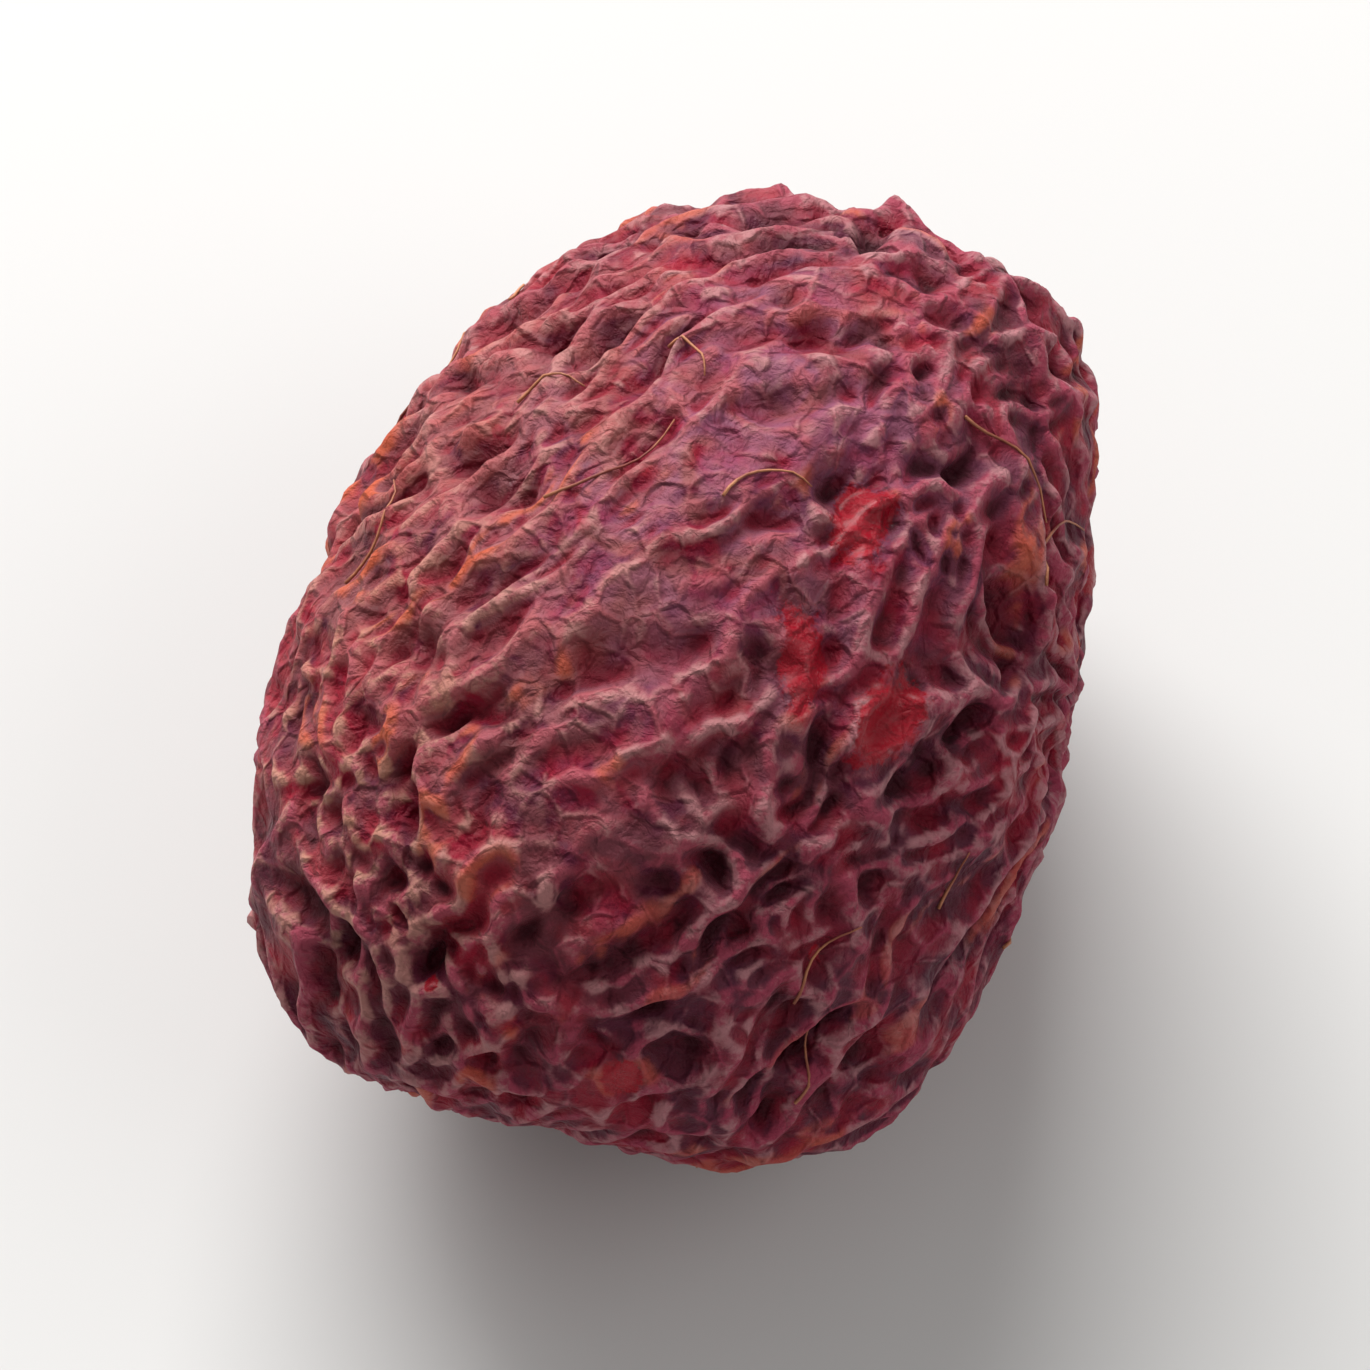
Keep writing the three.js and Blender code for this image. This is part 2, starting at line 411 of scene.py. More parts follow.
crumple_fields = [crumple_field(*crumple) for crumple in CRUMPLES]
fold_field = wave_field(FOLD_PERIOD, draws)
crumple_fields.append(crumple_field(*FINE_CRUMPLE))
fine_fold_field = wave_field(FINE_FOLD_PERIOD, draws)
micro_field = wave_field(MICRO_PERIOD, draws)
print("drupelets:", len(drupelets))


# %% Crumple the points, and find the middles that lie nearest
def crumpled(points):
    """Points pushed about, so that no crest runs straight."""
    moved = points.copy()
    for reach, fields in crumple_fields:
        moved += reach * np.stack([field(points) for field in fields], axis=-1)
    return moved


def nearest_two(points, middles, rows_at_once=8000):
    """The middle that each point is nearest to, and its distances to that and to the next."""
    nearest, first, second = [], [], []
    for start in range(0, len(points), rows_at_once):
        part = points[start:start + rows_at_once]
        square = (part**2).sum(axis=1)[:, None] + (middles**2).sum(axis=1)[None] - 2 * part @ middles.T
        order = np.argpartition(square, 1, axis=1)[:, :2]
        away = np.sqrt(np.maximum(np.take_along_axis(square, order, axis=1), 0))
        nearest.append(order[np.arange(len(part)), away.argmin(axis=1)])
        first.append(away.min(axis=1))
        second.append(away.max(axis=1))
    return np.concatenate(nearest), np.concatenate(first), np.concatenate(second)


# %% Small cells, each a pit
def squeezed(points, stretch):
    """Points drawn together along the folds, so that round cells come out long."""
    return points - np.outer(points @ FOLD_WAY, FOLD_WAY) * (1 - 1 / stretch)


def make_cell(index):
    step = (index + 0.5 + draws.around(CELL_JITTER)) / CELLS
    share = RIM_SHARE + (1 - RIM_SHARE) * min(max(step, 0), 1)
    turn = index * GOLDEN_TURN + draws.around(CELL_TURN_JITTER)
    return thimble_points(np.array(share), np.array(turn))


CELL_MIDDLES = np.array([make_cell(index) for index in range(CELLS)])
CELL_DEPTHS = np.array([LEAST_DEPTH + (1 - LEAST_DEPTH) * draws.draw() for _ in range(CELLS)])
print("cells:", len(CELL_MIDDLES))


def cell_pits(points, stretch):
    """0 on the borders of the fine cells, up to 1 in them."""
    cell, first, second = nearest_two(squeezed(points, stretch), squeezed(CELL_MIDDLES, stretch))
    return (1 - crest(second - first, CELL_EDGE)) * CELL_DEPTHS[cell]


# %% Streaks and spots
def any_side():
    return unit(np.array([draws.around(1), draws.around(1), draws.around(1)]))


streak_field = wave_field(STREAK_PERIOD, draws)
juice_sides = JUICE_SIDES + [any_side() for _ in range(JUICE_SPOTS)]


def juice_amount(points):
    """1 in the middle of a spot of dried juice. The first spots are full size, the rest vary."""
    heading = unit(heading_of(points))
    swings = np.cos(np.arange(len(juice_sides)) * JUICE_STEP)
    spreads = JUICE_SPREAD * (JUICE_MEAN_SIZE + JUICE_VARIES * swings)
    spreads[:JUICE_FULL_SIZE] = JUICE_SPREAD
    spots = [nearness(heading, side, spread) for side, spread in zip(juice_sides, spreads)]
    return np.max(spots, axis=0)


# %% Crests of the seeds and the folds
def seed_crest(points, nearest):
    offset = points - MIDDLES[nearest]
    along = (offset * LIES[nearest]).sum(axis=1) * 2 / SEED_LENGTH
    across = (offset * ACROSSES[nearest]).sum(axis=1) * 2 / SEED_WIDTH
    return 1 - smooth_step(np.hypot(along, across), SEED_TOP, SEED_FOOT)


def along_folds(points, stretch):
    """Points in the frame of the folds, drawn out along them."""
    return np.stack([points @ FOLD_WAY / stretch, points @ FOLD_ACROSS, points @ FOLD_OUT], axis=-1)


def fold_crest(points, field, stretch, width):
    return crest(field(along_folds(points, stretch)), width)


def most_near(points, sides):
    """The strongest of several sides at each point: side, strength, spread."""
    heading = unit(heading_of(points))
    amounts = [strength * nearness(heading, side, spread) for side, strength, spread in sides]
    return np.max(amounts, axis=0)


# %% How deep the skin has sunk
def skin_sink(nearest, let_go, calm):
    """Emptied drupelets sink the most, where no net, seed or fold holds their skin up."""
    emptied = SINK_WHEN_EMPTY - (SINK_WHEN_EMPTY - SINK_WHEN_FULL) * FULLNESS[nearest]
    return SKIN_SINK * let_go * emptied * (1 - calm)


def cell_sink(points, moved, net, folded, calm):
    """Small pits, round on most sides and long where the folds run."""
    pits = cell_pits(moved, ROUND_STRETCH) * (1 - folded) + cell_pits(moved, LONG_STRETCH) * folded
    pits = pits * (1 + most_near(points, PITTED_SIDES))
    return CELL_SINK * pits * (1 - CELLS_LOST_ON_NET * net * (1 - folded)) * (1 - CELLS_CALMED * calm)


def fine_fold_sink(moved, folded, calm):
    between_folds = 1 - fold_crest(moved, fine_fold_field, FINE_FOLD_STRETCH, FINE_FOLD_WIDTH)
    amount = FINE_FOLDS_AROUND + FINE_FOLDS_MORE * folded
    return FINE_FOLD_SINK * between_folds * amount * (1 - FINE_FOLDS_CALMED * calm)


def micro_sink(points, calm):
    return MICRO_SINK * (1 - crest(micro_field(points), MICRO_WIDTH)) * (1 - MICRO_CALMED * calm)


def relief_of(points):
    """Masks from 0 to 1, and how deep the skin has sunk, in millimetres."""
    moved = crumpled(points)
    nearest, first, second = nearest_two(moved, MIDDLES)
    net = crest(second - first, NET_WIDTH)
    seed = seed_crest(moved, nearest)
    fold = fold_crest(moved, fold_field, FOLD_STRETCH, FOLD_WIDTH)
    folded = nearness(unit(heading_of(points)), *FOLDED_SIDE)
    juice = juice_amount(moved)
    streak = streak_field(along_folds(moved, STREAK_STRETCH))
    calm = np.maximum(most_near(points, CALM_SIDES), CALM_IN_JUICE * juice)
    off_net = 1 - net * (1 - NET_LOST_IN_FOLDS * folded)
    let_go = off_net * (1 - SEED_LIFT * seed) * (1 - FOLD_LIFT * fold)
    sink = skin_sink(nearest, let_go, calm)
    sink = sink + cell_sink(points, moved, net, folded, calm)
    sink = sink + fine_fold_sink(moved, folded, calm)
    sink = sink + micro_sink(points, calm)
    return {
        "seed": seed * (1 - net),
        "juice": juice,
        "streak": smooth_step(streak, STREAK_FROM, STREAK_FULL),
        "sink": sink,
    }


# %% [markdown]
# ## The skin
#
# The start is a ball of even triangles, because a ball with poles would crowd its points at
# the mouth and the tip, where the eye looks for smooth skin. It is divided in edit mode to
# just under the most that one piece may have, laid over the thimble, and sunk between the
# crests along its own normals.

# %% An even ball of fine triangles
BALL_SUBDIVISIONS = 6
BALL_CUTS = 2
select_none()
bpy.ops.mesh.primitive_ico_sphere_add(subdivisions=BALL_SUBDIVISIONS, radius=1)
skin = bpy.context.object
skin.name = "berry_skin"
bpy.ops.object.mode_set(mode="EDIT")
bpy.ops.mesh.select_all(action="SELECT")
bpy.ops.mesh.subdivide(number_cuts=BALL_CUTS)
bpy.ops.object.mode_set(mode="OBJECT")
print("triangles in the ball:", len(skin.data.polygons))


# %% Lay the ball over the thimble
def lay_over_thimble(piece):
    heading = unit(read_points(piece))
    share = (1 - heading[:, 1]) / 2
    turn = np.arctan2(heading[:, 2], heading[:, 0])
    write_points(piece, thimble_points(share, turn))
    return share, turn


share, turn = lay_over_thimble(skin)


# %% Pleats, and values evened over the mesh
PLEAT_WAVER = 1.5
PLEATS_AT = 0.8
PLEATS_SPREAD = 0.45


def pleat_rise(share, turn):
    """Pleats that draw the rim together round the mouth."""
    by_rim = crest(share - RIM_SHARE * PLEATS_AT, RIM_SHARE * PLEATS_SPREAD)
    return PLEAT_HEIGHT * by_rim * np.cos(PLEATS * turn + PLEAT_WAVER * np.sin(2 * turn))


def neighbour_mean(piece, values):
    """The mean over the points that share an edge with each point."""
    ends = np.empty(len(piece.data.edges) * 2, dtype=np.int32)
    piece.data.edges.foreach_get("vertices", ends)
    first, second = ends.reshape(-1, 2).T
    size = len(piece.data.vertices)
    count = np.bincount(np.concatenate([first, second]), minlength=size)
    total = np.bincount(first, values[second], size) + np.bincount(second, values[first], size)
    return total / count


def evened(piece, values, rounds):
    """Values drawn towards their neighbours', so that thin crests have no saw teeth."""
    for _ in range(rounds):
        values = (values + neighbour_mean(piece, values)) / 2
    return values


# %% Sink the skin between its crests
RISE_ROUNDS = 2
smooth = read_points(skin)
relief = relief_of(smooth)
outside = outside_amount(share)
rise = evened(skin, pleat_rise(share, turn) - outside * relief["sink"], RISE_ROUNDS)
sunk = smooth + read_normals(skin) * rise[:, None]


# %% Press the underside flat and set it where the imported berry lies
def laid_down(points):
    """The berry lying on its flat spot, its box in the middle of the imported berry's."""
    points = points.copy()
    floor = points[:, 2].min() + REST_PRESS
    points[:, 2] = np.maximum(points[:, 2], floor) - floor
    middle = (points.min(axis=0) + points.max(axis=0)) / 2
    target = np.array((NODE_LOW + NODE_HIGH) / 2) / MM
    points[:, :2] += (target - middle)[:2]
    return points


laid = laid_down(sunk)
LAID_SHIFT = np.append((laid - sunk)[0, :2], (laid - sunk)[:, 2].min())
write_points(skin, laid)
select_only(skin)
bpy.ops.object.shade_smooth()
print("skin, mm:", np.round(np.ptp(read_points(skin), axis=0), 2))


# %% Find its ridges and creases: down and a painted highlight go on the ridges, painted light and painted shade in the creases
RIDGE_PERCENTILE = 95


def ridge_amount(piece, rounds=2):
    """Above 0 on ridges and below 0 in creases, from -1 to 1."""
    points = read_points(piece)
    mean = np.stack([neighbour_mean(piece, column) for column in points.T], axis=-1)
    amount = evened(piece, ((points - mean) * read_normals(piece)).sum(axis=1), rounds)
    return np.clip(amount / np.percentile(np.abs(amount), RIDGE_PERCENTILE), -1, 1)


# %% Keep the masks on the skin, for its colours
DEEPEST = 0.9
DEPTH_SHARES = [10, 30, 50, 70, 90]


def keep_mask(piece, name, values):
    mask = piece.data.attributes.new(name, "FLOAT", "POINT")
    mask.data.foreach_set("value", values.astype(np.float32))


keep_mask(skin, "ridge", ridge_amount(skin))
for name in ("seed", "juice", "streak"):
    keep_mask(skin, name, relief[name] * outside)
for name, (side, spread) in TONE_SIDES.items():
    keep_mask(skin, name, nearness(unit(heading_of(smooth)), side, spread))
keep_mask(skin, "depth", np.clip(relief["sink"] / DEEPEST, 0, 1) * outside)
keep_mask(skin, "hollow", 1 - outside)
print("sunk, mm, shallow to deep:", np.round(np.percentile(relief["sink"], DEPTH_SHARES), 2))
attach(skin, "root")
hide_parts("berry")

# %% [markdown]
# ## Shader maths in Python
#
# A node tree is easier to read as sums. This small class wraps a socket, so that Python's
# own signs add the Math nodes.


# %% A number in a node tree
class Number:
    def __init__(self, tree, socket):
        self.tree = tree
        self.socket = socket

    def combined(self, operation, first, second):
        node = add_node(self.tree, "ShaderNodeMath", {"operation": operation}, {0: first, 1: second})
        return Number(self.tree, node.outputs[0])

    def __add__(self, other):
        return self.combined("ADD", self, other)

    def __radd__(self, other):
        return self.combined("ADD", other, self)

    def __sub__(self, other):
        return self.combined("SUBTRACT", self, other)

    def __rsub__(self, other):
        return self.combined("SUBTRACT", other, self)

    def __mul__(self, other):
        return self.combined("MULTIPLY", self, other)

    def __rmul__(self, other):
        return self.combined("MULTIPLY", other, self)

    def clipped(self):
        settings = {"operation": "ADD", "use_clamp": True}
        node = add_node(self.tree, "ShaderNodeMath", settings, {0: self, 1: 0})
        return Number(self.tree, node.outputs[0])


def add_node(tree, kind, settings=None, inputs=None):
    """Adds a node: its settings first, then the values or links of its sockets."""
    node = tree.nodes.new(kind)
    for name, value in (settings or {}).items():
        setattr(node, name, value)
    for name, value in (inputs or {}).items():
        socket = node.inputs[name]
        if isinstance(value, Number):
            value = value.socket
        if isinstance(value, bpy.types.NodeSocket):
            tree.links.new(value, socket)
        else:
            socket.default_value = value
    return node


# %% Colours, masks and noise for a material
def colour(red, green, blue):
    """A colour as seen on a screen, from 0 to 255, made linear."""
    screen = np.array([red, green, blue]) / 255
    linear = np.where(screen > 0.04045, ((screen + 0.055) / 1.055) ** 2.4, screen / 12.92)
    return (*linear, 1)


def mix(tree, factor, first, second):
    """The first colour where the factor is 0, the second where it is 1."""
    settings = {"data_type": "RGBA"}
    return add_node(tree, "ShaderNodeMix", settings, {0: factor, 6: first, 7: second}).outputs[2]


def mask(tree, name):
    """A mask that was kept on the skin."""
    node = add_node(tree, "ShaderNodeAttribute", {"attribute_type": "GEOMETRY", "attribute_name": name})
    return Number(tree, node.outputs["Fac"])


def between(tree, value, low, high):
    """0 at low, 1 at high, with a soft step between."""
    settings = {"interpolation_type": "SMOOTHSTEP"}
    node = add_node(tree, "ShaderNodeMapRange", settings, {0: value, 1: low, 2: high})
    return Number(tree, node.outputs[0])


def noise(tree, size_mm, detail=3, roughness=0.5, distortion=0.0):
    """Cloudy noise from 0 to 1, with patches of about one size."""
    inputs = {
        "Vector": add_node(tree, "ShaderNodeTexCoord").outputs["Object"],
        "Scale": 1 / (size_mm * MM),
        "Detail": detail,
        "Roughness": roughness,
        "Distortion": distortion,
    }
    return Number(tree, add_node(tree, "ShaderNodeTexNoise", {}, inputs).outputs["Fac"])


STIR_FINENESS = 0.7
STIR_REACH = 0.8


def cell_edges(tree, size_mm):
    """How far each place is from the border of its small cell, 0 on the border."""
    size = size_mm * MM
    place = add_node(tree, "ShaderNodeTexCoord").outputs["Object"]
    inputs = {"Vector": place, "Scale": STIR_FINENESS / size}
    stir = add_node(tree, "ShaderNodeTexNoise", {}, inputs).outputs["Color"]
    inputs = {0: stir, 1: (STIR_REACH * size,) * 3, 2: place}
    moved = add_node(tree, "ShaderNodeVectorMath", {"operation": "MULTIPLY_ADD"}, inputs).outputs[0]
    inputs = {"Vector": moved, "Scale": 1 / size}
    cells = add_node(tree, "ShaderNodeTexVoronoi", {"feature": "DISTANCE_TO_EDGE"}, inputs)
    return Number(tree, cells.outputs["Distance"])


def new_material(name, **fixed):
    """A material with one shader, whose unchanging values are set on its own sockets."""
    material = bpy.data.materials.new(name)
    material.use_nodes = True
    shader = material.node_tree.nodes["Principled BSDF"]
    for socket, value in fixed.items():
        shader.inputs[socket.replace("_", " ")].default_value = value
    return material, material.node_tree, shader


# %% [markdown]
# ## The finish of the skin
#
# Dried raspberry skin is dull and leathery, and no two places on it have the same tone. The
# stretched skin between the crests is dark red, with brighter red, greyish, mauve and dusty
# pink patches. The crests carry a fine down and look pale, and their paler colour is partly the
# down and partly a painted highlight. Where a seed lies close under the skin, and along some
# folds, it turns the colour of straw. The creases are painted red where light would come through
# the thin skin, which is painted light, and dark elsewhere as painted shade, and the deep pits
# are painted darkest, as painted shade. A few drops of juice dried to a glossy film.
# A painted picture could show all this from one side only. Here the masks that the shape left
# on the skin say where each tone goes, and noise breaks up its border.

# %% Skin colours
# Crest colours: partly the pale tone of the down and partly a painted highlight.
CREST = colour(158, 54, 80)
CREST_PALE = colour(176, 118, 124)
CREST_TAN = colour(184, 130, 110)
STRAW = colour(190, 84, 54)
FLAT = colour(86, 10, 40)
FLAT_RED = colour(148, 0, 36)
FLAT_GREY = colour(80, 30, 50)
DUSTY = colour(156, 88, 86)
MAUVE = colour(138, 78, 110)
# Painted shade colour, for the deep pits and the dark creases.
PIT_SHADE = colour(52, 0, 14)
JUICE = colour(154, 0, 28)
INSIDE = colour(150, 92, 84)

# %% Sizes of the patches of tone, in millimetres
SPECK_SIZE = 0.28
RED_SIZE = 0.9
RED_ZONE_SIZE = 2.4
GREY_SIZE = 3.1
DUSTY_SIZE = 0.8
MAUVE_SIZE = 1.4
PALE_SIZE = 0.6
LIT_SIZE = 0.9
VEIN_SIZE = 0.5

# %% Where each tone starts and where it is full, on its noise or mask
RED_RANGE = (0.64, 0.88)
GREY_RANGE = (0.42, 0.72)
DUSTY_RANGE = (0.36, 0.54)
MAUVE_RANGE = (0.35, 0.6)
PALE_RANGE = (0.44, 0.6)
VEIN_RANGE = (0.0, 0.16)
CREST_RANGE = (0.1, 0.85)
STRAW_FROM = 0.12
STRAW_RANGE = (-0.2, 0.6)
CREASE_RANGE = (0.0, 0.9)
LIT_RANGE = (0.5, 0.7)
PIT_SHADE_RANGE = (0.2, 0.85)
JUICE_RANGE = (0.4, 0.65)

# %% How much of the skin under it a tone covers at most
GREY_COVER = 0.8
DUSTY_COVER = 0.9
MAUVE_COVER = 0.7
CREST_COVER = 0.85
PIT_SHADE_COVER = 0.9
INSIDE_COVER = 0.75


# %% Skin between the crests
def flat_tone(tree, specks):
    """Dark red with patches of other tones. The number after a noise or mask is its weight."""
    red = noise(tree, RED_SIZE, detail=5) + noise(tree, RED_ZONE_SIZE) * 0.5 + specks * 0.25
    red = between(tree, red, *RED_RANGE) * (1 - mask(tree, "grey") * 0.5)
    grey = noise(tree, GREY_SIZE, distortion=0.5) * 0.7 + mask(tree, "grey") * 0.45
    grey = between(tree, grey, *GREY_RANGE) * GREY_COVER
    tone = mix(tree, red, mix(tree, grey, FLAT, FLAT_GREY), FLAT_RED)
    dusty = between(tree, noise(tree, DUSTY_SIZE, detail=4, distortion=1.0), *DUSTY_RANGE)
    tone = mix(tree, mask(tree, "dusty") * dusty * DUSTY_COVER, tone, DUSTY)
    mauve = between(tree, noise(tree, MAUVE_SIZE, distortion=1.0), *MAUVE_RANGE)
    return mix(tree, mask(tree, "mauve") * mauve * MAUVE_COVER, tone, MAUVE)


# %% Crests, tan on some sides, and painted pale partly as a painted highlight
def crest_tone(tree, specks):
    pale = noise(tree, PALE_SIZE, detail=5, roughness=0.6) + specks * 0.3
    pale = between(tree, pale, *PALE_RANGE)
    tan = (mask(tree, "pale") * pale + mask(tree, "dusty") * 0.35).clipped()
    return mix(tree, tan, mix(tree, pale, CREST, CREST_PALE), CREST_TAN)


def crest_amount(tree, specks):
    """Most on the ridges and along the fine veins of the skin. The pale crest colour here is partly the
    down and partly a painted highlight.
    """
    vein = 1 - between(tree, cell_edges(tree, VEIN_SIZE), *VEIN_RANGE)
    ridge = mask(tree, "ridge") + vein * 0.35 + specks * 0.8
    return between(tree, ridge, *CREST_RANGE) * CREST_COVER


# %% Straw colour over the seeds and along some folds
def straw_amount(tree, specks):
    straw = mask(tree, "streak") * 0.8 + mask(tree, "warm") * 0.3 + mask(tree, "seed") * 0.15
    on_ridge = between(tree, mask(tree, "ridge") + specks, *STRAW_RANGE)
    return (straw - STRAW_FROM).clipped() * on_ridge * (1 - mask(tree, "grey") * 0.6)


# %% Red creases and dark pits, painted as light and shade
def shaded_tone(tree, specks, tone):
    # Creases are painted red as light through thin skin where the lit noise and the dusty upper side
    # say so, and dark as painted shade elsewhere.
    crease = between(tree, specks * 0.6 - mask(tree, "ridge"), *CREASE_RANGE)
    lit = noise(tree, LIT_SIZE, detail=3) + mask(tree, "dusty") * 0.3
    lit = between(tree, lit, *LIT_RANGE)
    tone = mix(tree, crease * (lit * 0.6 + 0.2), tone, FLAT_RED)
    # The deep pits are painted dark, as painted shade.
    deep = between(tree, mask(tree, "depth") + specks * 0.6, *PIT_SHADE_RANGE)
    dark = (crease * (0.55 - lit * 0.45) + deep * 0.65).clipped()
    return mix(tree, dark * PIT_SHADE_COVER, tone, PIT_SHADE)


# %% All the tones together
def skin_colour(tree):
    specks = noise(tree, SPECK_SIZE, detail=4, roughness=0.75) - 0.5
    tone = mix(tree, crest_amount(tree, specks), flat_tone(tree, specks), crest_tone(tree, specks))
    tone = mix(tree, straw_amount(tree, specks), tone, STRAW)
    tone = shaded_tone(tree, specks, tone)
    juice = between(tree, mask(tree, "juice") + specks * 1.2, *JUICE_RANGE)
    tone = mix(tree, juice, tone, JUICE)
    return mix(tree, mask(tree, "hollow") * INSIDE_COVER, tone, INSIDE)


# %% Dull skin, glossier in pits and on juice
ROUGHNESS = 0.6
GLOSS_SIZE = 0.5
GLOSS_VARIES = 0.5
PIT_GLOSS = 0.15
JUICE_GLOSS = 0.35
COAT_SIZE = 0.4
COAT_RANGE = (0.5, 0.9)
COAT_MOST = 0.3


def skin_roughness(tree):
    in_pits = ROUGHNESS - mask(tree, "depth") * PIT_GLOSS
    patchy = (noise(tree, GLOSS_SIZE) - 0.5) * GLOSS_VARIES
    return (in_pits + patchy - mask(tree, "juice") * JUICE_GLOSS).clipped()


def juice_coat(tree):
    film = mask(tree, "juice") + noise(tree, COAT_SIZE) * 0.3
    return between(tree, film, *COAT_RANGE) * COAT_MOST


# %% Grain and fine crackle, too small for the mesh
GRAIN_SIZE = 0.1
CRINKLE_SIZE = 0.28
CRACKLE_RANGE = (0.0, 0.2)
GRAIN_HEIGHT = 0.16 * MM


def skin_grain(tree):
    grain = noise(tree, GRAIN_SIZE, detail=5, roughness=0.65) * 0.35
    crinkle = noise(tree, CRINKLE_SIZE, detail=4, distortion=1.0) * 0.8
    crackle = between(tree, cell_edges(tree, VEIN_SIZE), *CRACKLE_RANGE) * 0.35
    inputs = {"Strength": 1.0, "Distance": GRAIN_HEIGHT, "Height": grain + crinkle - crackle}
    return add_node(tree, "ShaderNodeBump", {}, inputs).outputs["Normal"]


# %% Skin material
SHEEN_TINT = (1.0, 0.75, 0.75, 1)


def skin_material():
    material, tree, shader = new_material(
        "raspberry_skin", Sheen_Weight=0.03, Sheen_Roughness=0.45,
        Specular_IOR_Level=0.18, Coat_Roughness=0.28)
    shader.inputs["Sheen Tint"].default_value = SHEEN_TINT
    tree.links.new(skin_colour(tree), shader.inputs["Base Color"])
    tree.links.new(skin_roughness(tree).socket, shader.inputs["Roughness"])
    tree.links.new(juice_coat(tree).socket, shader.inputs["Coat Weight"])
    tree.links.new(skin_grain(tree), shader.inputs["Normal"])
    return material


skin.data.materials.append(skin_material())
print("skin material nodes:", len(skin.data.materials[0].node_tree.nodes))

# %% [markdown]
# ## Withered styles
#
# Each drupelet carried one thread of the flower, and some of them are still there, dry and
# curled, the colour of straw. One could draw each as a curve. Here one thread is modelled by
# drawing a ring out step by step, which keeps them all light, and its copies are laid over the
# berry along short walks. Their middle lines are lifted by about their own radius, so they
# rest on the crests and dip into the skin in places, as threads do that dried on it.

# %% Model one thread by extruding a ring
THREAD_SIDES = 5
THREAD_STEPS = 9
select_none()
bpy.ops.mesh.primitive_circle_add(vertices=THREAD_SIDES, radius=1, fill_type="NGON")
thread = bpy.context.object
thread.name = "style_first"
bpy.ops.object.mode_set(mode="EDIT")
bpy.ops.mesh.select_all(action="SELECT")
bpy.ops.mesh.flip_normals()
for _ in range(THREAD_STEPS):
    bpy.ops.mesh.extrude_region_move(TRANSFORM_OT_translate={"value": (0, 0, 1 / THREAD_STEPS)})
bpy.ops.mesh.select_all(action="SELECT")
bpy.ops.mesh.normals_make_consistent(inside=False)
bpy.ops.object.mode_set(mode="OBJECT")
print("thread faces:", len(thread.data.polygons))

# %% Where the threads lie
THREADS = 26
THREAD_SHORT = 1.0
THREAD_LONG = 2.6
THREAD_THICK = 0.028
THREAD_LIFT = 0.03
THREAD_BEND = 2.2
THREAD_WALK = 12
THREAD_CLEAR = 0.3
THREAD_STRAY = 1.2
LIFT_ROUNDS = 2
THREAD_TAPER = 0.55
RAY_START = 2
THREADS_FROM = 1.3
skin_tree = BVHTree.FromObject(skin, bpy.context.evaluated_depsgraph_get())


def skin_under(point, out):
    """The skin straight under a point, both as they were before the berry was laid down."""
    start = Vector((point + LAID_SHIFT + out * RAY_START) * MM)
    hit = skin_tree.ray_cast(start, Vector(-out))[0]
    return point if hit is None else np.array(hit) / MM - LAID_SHIFT


def thread_foot():
    """Where a thread starts, well outside the rim, and the way that it sets out."""
    first_share = RIM_SHARE * THREADS_FROM
    share = first_share + (1 - first_share) * draws.draw()
    place = thimble_points(np.array(share), np.array(draws.around(math.pi)))
    out = unit(heading_of(place))
    across = np.cross(out, FOLD_WAY)
    return place, out, unit(np.cross(across, out) + across * draws.around(THREAD_STRAY))


def thread_walk(length):
    """Points of one thread from its foot to its tip, and the ways out from the berry there."""
    place, out, way = thread_foot()
    bend = draws.around(THREAD_BEND)
    walk = []
    for _ in range(THREAD_WALK):
        walk.append(skin_under(place, out))
        turned = Matrix.Rotation(bend / THREAD_WALK, 3, Vector(out)) @ Vector(way)
        place = walk[-1] + np.array(turned) * length / THREAD_WALK
        out = unit(heading_of(place))
        way = unit(np.array(turned) - out * (out @ np.array(turned)))
    return lifted(np.array(walk))


def lifted(walk):
    """A walk raised over the pits on its way and just off the crests, and the ways out there."""
    outs = unit(heading_of(walk))
    far = (walk * outs).sum(axis=1)
    for _ in range(LIFT_ROUNDS):
        near = (np.r_[far[:1], far[:-1]] + np.r_[far[1:], far[-1:]]) / 2
        far = np.maximum(far, near)
    lift = THREAD_LIFT + far - (walk * outs).sum(axis=1)
    return walk + outs * lift[:, None] + LAID_SHIFT, outs


def walk_off_floor(length):
    """The first walk drawn that stays clear of the floor."""
    walk, outs = thread_walk(length)
    while walk[:, 2].min() < THREAD_CLEAR:
        walk, outs = thread_walk(length)
    return walk, outs


# %% Lay the threads
def at_steps(rows, along):
    """Rows read at shares of the way along them."""
    steps = np.linspace(0, 1, len(rows))
    return np.stack([np.interp(along, steps, column) for column in rows.T], axis=-1)


def lay_thread(piece, walk, outs):
    """Bends a straight thread of length 1 along a walk and narrows it to its tip."""
    points = read_points(piece) * MM
    along = np.clip(points[:, 2], 0, 1)
    middle = at_steps(walk, along)
    way = unit(at_steps(unit(np.gradient(walk, axis=0)), along))
    side = unit(np.cross(unit(at_steps(outs, along)), way))
    thick = (THREAD_THICK * (1 - THREAD_TAPER * along))[:, None]
    up = np.cross(way, side)
    write_points(piece, middle + (side * points[:, :1] + up * points[:, 1:2]) * thick)


threads = []
for index in range(THREADS):
    piece = bpy.data.objects.new(f"style_{index + 1:02d}", thread.data.copy())
    bpy.context.scene.collection.objects.link(piece)
    length = THREAD_SHORT + (THREAD_LONG - THREAD_SHORT) * draws.draw() ** 2
    lay_thread(piece, *walk_off_floor(length))
    threads.append(piece)
bpy.data.objects.remove(thread)
print("threads:", len(threads))


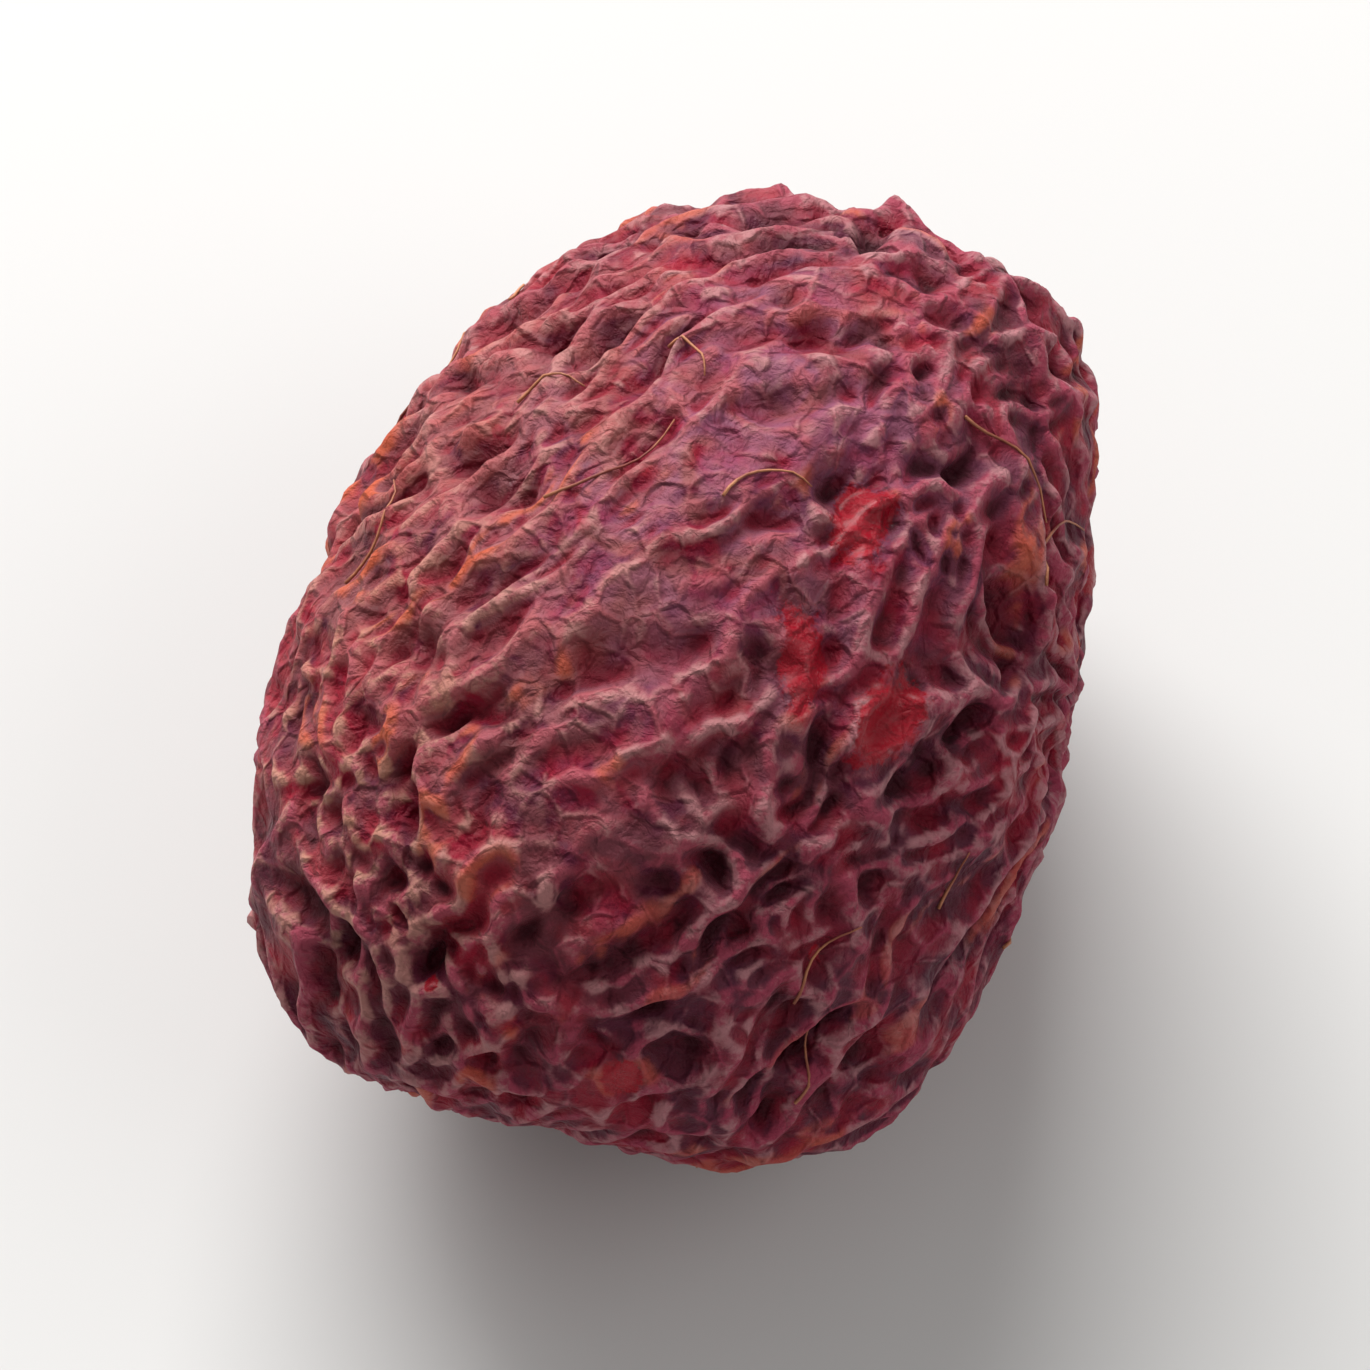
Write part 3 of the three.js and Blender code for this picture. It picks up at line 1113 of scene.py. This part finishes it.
# %% Thread material
THREAD_DARK = colour(128, 60, 48)
THREAD_LIGHT = colour(186, 122, 84)
THREAD_TONE_SIZE = 1.2
THREAD_TONE_RANGE = (0.35, 0.65)
THREAD_ROUGHNESS = 0.45
THREAD_GLOSS_VARIES = 0.25
THREAD_GLOSS_SIZE = 0.3
THREAD_GRAIN_SIZE = 0.08
THREAD_GRAIN_HEIGHT = 0.02 * MM


def thread_material():
    material, tree, shader = new_material("dry_style", Specular_IOR_Level=0.4)
    light = between(tree, noise(tree, THREAD_TONE_SIZE), *THREAD_TONE_RANGE)
    tree.links.new(mix(tree, light, THREAD_DARK, THREAD_LIGHT), shader.inputs["Base Color"])
    rough = THREAD_ROUGHNESS + noise(tree, THREAD_GLOSS_SIZE) * THREAD_GLOSS_VARIES
    tree.links.new(rough.socket, shader.inputs["Roughness"])
    inputs = {"Distance": THREAD_GRAIN_HEIGHT, "Height": noise(tree, THREAD_GRAIN_SIZE)}
    bump = add_node(tree, "ShaderNodeBump", {}, inputs)
    tree.links.new(bump.outputs["Normal"], shader.inputs["Normal"])
    return material


straw_thread = thread_material()
for piece in threads:
    piece.data.materials.append(straw_thread)
    select_only(piece)
    bpy.ops.object.shade_smooth()
    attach(piece, "root")
select_none()

# %% [markdown]
# ## Floor, light and camera
#
# A plain pale floor, one large soft light from the top of the picture, a weak one from its
# right and a pale sky show the berry as in a studio. The camera looks down on it at about the
# angle of the photograph, through a long lens, because a short one close by would swell its
# near side.

# %% Floor
FLOOR_SIZE = 0.6
FLOOR_COLOUR = colour(216, 215, 213)
FLOOR_ROUGHNESS = 0.7
select_none()
bpy.ops.mesh.primitive_plane_add(size=FLOOR_SIZE, location=(0, 0, 0))
floor = bpy.context.object
floor.name = "floor"
floor_material, _, floor_shader = new_material("pale_floor", Roughness=FLOOR_ROUGHNESS)
floor_shader.inputs["Base Color"].default_value = FLOOR_COLOUR
floor.data.materials.append(floor_material)

# %% Camera
AZIMUTH = math.radians(24.7)
ELEVATION = math.radians(62)
LENS = 350
SENSOR_WIDTH = 36
SEEN_LENGTH = 0.0148
FRAME_FILL = 0.76
NEAREST = 0.005
FARTHEST = 5
TARGET = Vector(((NODE_LOW.x + NODE_HIGH.x) / 2, (NODE_LOW.y + NODE_HIGH.y) / 2, NODE_HIGH.z / 2))
camera_way = Vector((
    math.sin(AZIMUTH) * math.cos(ELEVATION),
    -math.cos(AZIMUTH) * math.cos(ELEVATION),
    math.sin(ELEVATION),
))
camera_data = bpy.data.cameras.new("camera")
camera = bpy.data.objects.new("camera", camera_data)
bpy.context.scene.collection.objects.link(camera)
bpy.context.scene.camera = camera
camera_data.clip_start = NEAREST
camera_data.clip_end = FARTHEST
camera_data.sensor_width = SENSOR_WIDTH
camera_data.lens = LENS
camera_distance = SEEN_LENGTH / FRAME_FILL * LENS / SENSOR_WIDTH
camera.location = TARGET + camera_way * camera_distance
camera.rotation_euler = (-camera_way).to_track_quat("-Z", "Y").to_euler()
print("camera distance, m:", round(camera_distance, 4))

# %% Sky and lights
SKY_COLOUR = (1, 1, 1, 1)
SKY_STRENGTH = 0.34
world = bpy.data.worlds.new("sky")
bpy.context.scene.world = world
world.use_nodes = True
background = world.node_tree.nodes["Background"]
background.inputs["Color"].default_value = SKY_COLOUR
background.inputs["Strength"].default_value = SKY_STRENGTH


def add_light(name, right, up, near, size, watts):
    """A square light, placed as seen from the camera and aimed at the berry."""
    data = bpy.data.lights.new(name, "AREA")
    data.size = size
    data.energy = watts
    light = bpy.data.objects.new(name, data)
    bpy.context.scene.collection.objects.link(light)
    turn = camera.rotation_euler.to_matrix()
    light.location = TARGET + turn @ Vector((right, up, near))
    light.rotation_euler = (TARGET - light.location).to_track_quat("-Z", "Y").to_euler()
    return light


add_light("key", right=-0.06, up=0.25, near=0.03, size=0.2, watts=1.25)
add_light("fill", right=0.2, up=0.05, near=0.2, size=0.2, watts=0.15)
bpy.context.scene.view_settings.view_transform = "Standard"
